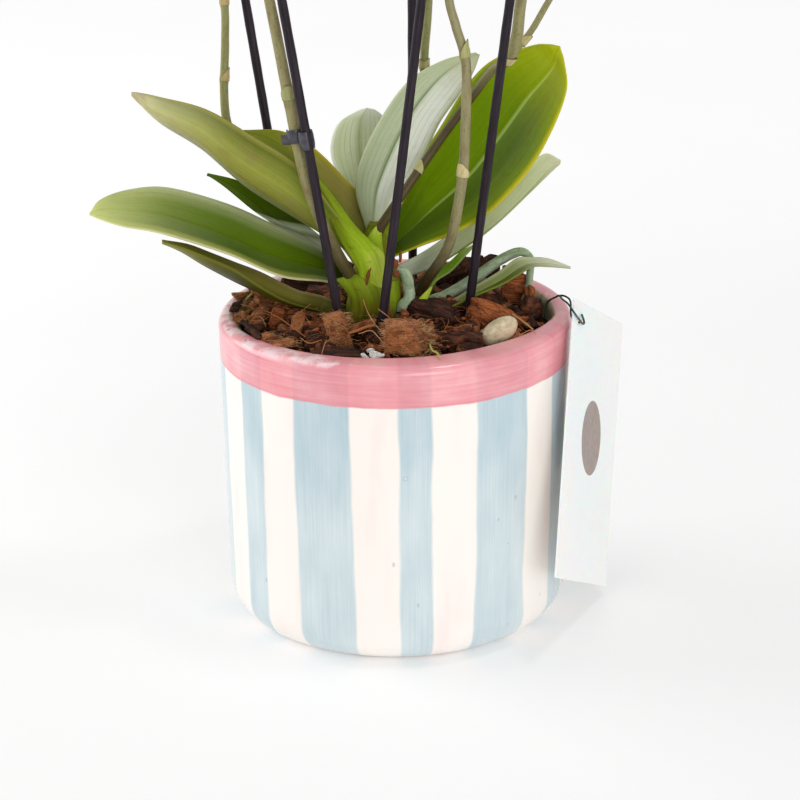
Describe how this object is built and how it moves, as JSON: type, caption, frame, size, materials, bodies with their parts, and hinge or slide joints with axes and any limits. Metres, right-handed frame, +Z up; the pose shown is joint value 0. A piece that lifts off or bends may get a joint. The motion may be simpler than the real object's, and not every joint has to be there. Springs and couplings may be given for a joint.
{
  "type": "potted orchid",
  "caption": "Potted moth orchid: staked flower stems above a leafy crown, in bark in a hand-striped ceramic pot with a blank hang tag.",
  "frame": {"origin": "centre of the pot's flat base, on the surface the pot stands on", "axes": "+Z up along the pot's axis, -Y towards the front of the picture, +X to its right, where the hang tag is"},
  "size_m": [0.3407, 0.157, 0.5049],
  "materials": {
    "glaze": "glossy glaze, hand painted in pink, pale blue and cream",
    "bark": "rough bark chips and coco fibre",
    "husk": "rough coco husk",
    "bark_dark": "rough dark bark",
    "bark_orange": "rough orange-brown bark",
    "bark_red": "rough red-brown bark",
    "pebble": "smooth",
    "leaf": "waxy green leaf",
    "crown": "waxy yellow-green leaf bases",
    "stem": "smooth olive-green stalk",
    "root": "matte silvery green root",
    "stake": "matte black-purple",
    "clip": "matte black",
    "petal": "soft velvety petal",
    "card": "uncoated warm white card",
    "wire": "dark green coated wire"
  },
  "bodies": {
    "root": {"aerial_root_large": "root", "aerial_root_small": "root", "bark_dark": "bark_dark", "bark_orange": "bark_orange", "bark_red": "bark_red", "bloom_1_1": "petal", "bloom_1_2": "petal", "bloom_1_3": "petal", "bloom_2_1": "petal", "bloom_2_2": "petal", "bloom_2_3": "petal", "bloom_3_1": "petal", "bloom_3_2": "petal", "bloom_4_1": "petal", "bloom_4_2": "petal", "bloom_4_3": "petal", "bloom_5_1": "petal", "bloom_5_2": "petal", "bloom_5_3": "petal", "bloom_5_4": "petal", "clip_1": "clip", "clip_2": "clip", "clip_3": "clip", "clip_4": "clip", "clip_5": "clip", "crown": "crown", "flower_stem_1": "stem", "flower_stem_2": "stem", "flower_stem_3": "stem", "flower_stem_4": "stem", "flower_stem_5": "stem", "husk_block": "husk", "husk_chip": "husk", "leaf_back_left": "leaf", "leaf_back_mid": "leaf", "leaf_left_broad": "leaf", "leaf_left_cut": "leaf", "leaf_left_high": "leaf", "leaf_left_low": "leaf", "leaf_left_narrow": "leaf", "leaf_right_broad": "leaf", "leaf_right_sliver": "leaf", "leaf_right_small": "leaf", "leaf_right_under": "leaf", "pebble": "pebble", "pot": "glaze", "potting_bark": "bark", "stake_left_back": "stake", "stake_left_front": "stake", "stake_middle_back": "stake", "stake_middle_front": "stake", "stake_right_front": "stake", "tag_card": "card", "tag_wire": "wire"}
  },
  "joints": []
}
